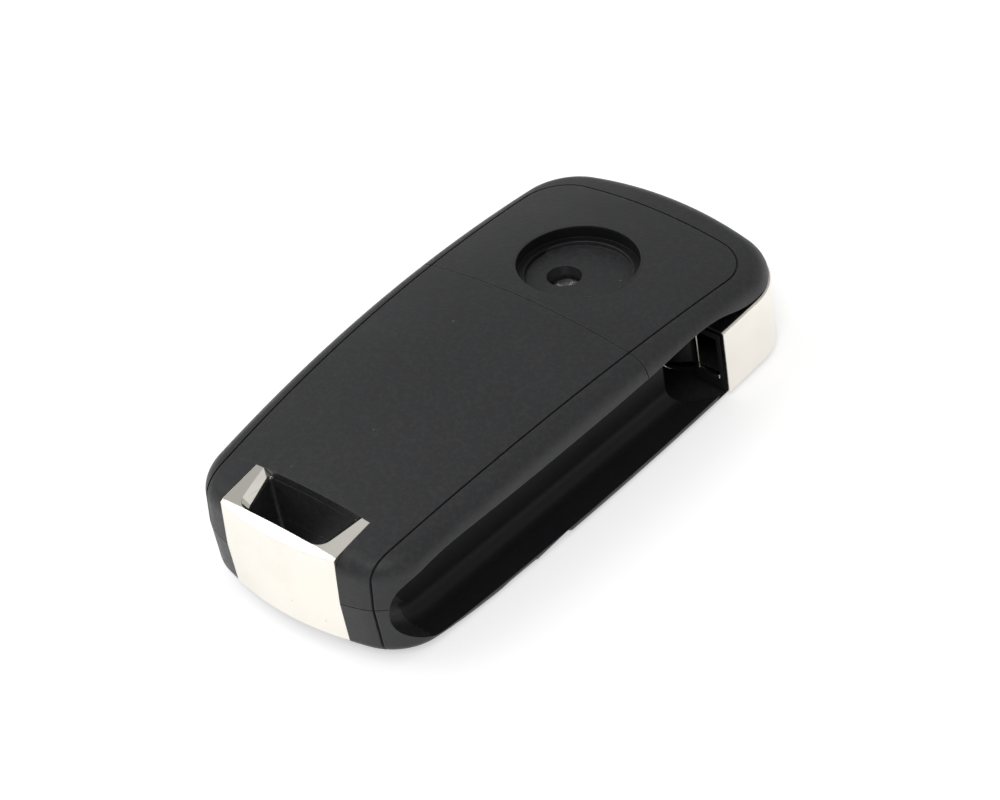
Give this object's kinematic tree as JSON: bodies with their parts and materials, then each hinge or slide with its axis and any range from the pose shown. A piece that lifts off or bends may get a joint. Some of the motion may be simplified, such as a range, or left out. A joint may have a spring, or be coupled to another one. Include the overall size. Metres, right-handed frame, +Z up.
{
  "type": "folding car key remote",
  "caption": "Folding car key remote lying on its button face: crowned back with a round badge recess, side blade channel, bright flip head and bright ring clip. The blade is missing.",
  "frame": {"origin": "centre of the bounding box at the button face, on the surface it lies on", "axes": "+Z up out of the back, +Y towards the flip head, +X towards the blade channel"},
  "size_m": [0.0385, 0.077, 0.018],
  "materials": {
    "case_grey": "fine satin grain",
    "case_black": "fine satin grain",
    "bright_chrome": "bright plated plastic",
    "core_black": "dull moulded",
    "steel": "turned steel",
    "spring_steel": "oiled spring wire",
    "bright_chrome_button": "bright plated plastic",
    "button_black": "semi-gloss",
    "pad_rubber": "silicone rubber",
    "board_green": "solder mask",
    "switch_metal": "pressed tin plate",
    "chip_black": "moulded epoxy",
    "crystal_can": "drawn can",
    "coil_copper": "enamelled winding",
    "tray_black": "dull moulded",
    "cell_steel": "satin steel can",
    "contact_metal": "sprung contact strip"
  },
  "bodies": {
    "case": {"front_housing": "case_black", "battery_cover": "case_grey", "head_back_cover": "case_grey", "ring_clip": "bright_chrome", "pivot_barrel": "steel", "flip_spring": "spring_steel", "release_spring": "spring_steel", "cover_screw": "steel", "key_pad": "pad_rubber", "circuit_board": "board_green", "lock_switch": "switch_metal", "unlock_switch": "switch_metal", "boot_switch": "switch_metal", "controller_chip": "chip_black", "crystal": "crystal_can", "transponder_coil": "coil_copper", "battery_tray": "tray_black", "coin_cell": "cell_steel", "negative_contact": "contact_metal", "positive_contact": "contact_metal"},
    "head": {"flip_head": "bright_chrome", "head_core": "core_black", "core_base": "core_black"},
    "release": {"release_button": "bright_chrome_button"},
    "lock": {"lock_button": "button_black"},
    "unlock": {"unlock_button": "button_black"},
    "boot": {"boot_button": "button_black"}
  },
  "joints": [
    {"name": "flip", "type": "hinge", "parent": "case", "child": "head", "pos_m": [0.009, 0.027, 0.006], "axis": [0, 0, 1], "range_deg": [0, 180]},
    {"name": "release_press", "type": "slide", "parent": "case", "child": "release", "axis": [0, 0, 1], "range_m": [0, 0.002], "stiffness_N_per_m": 900, "springref_m": -0.001, "deforming": ["release_spring"]},
    {"name": "lock_press", "type": "slide", "parent": "case", "child": "lock", "axis": [0, 0, 1], "range_m": [0, 0.0005], "stiffness_N_per_m": 2500, "springref_m": -0.0003},
    {"name": "unlock_press", "type": "slide", "parent": "case", "child": "unlock", "axis": [0, 0, 1], "range_m": [0, 0.0005], "stiffness_N_per_m": 2500, "springref_m": -0.0003},
    {"name": "boot_press", "type": "slide", "parent": "case", "child": "boot", "axis": [0, 0, 1], "range_m": [0, 0.0005], "stiffness_N_per_m": 2500, "springref_m": -0.0003}
  ]
}
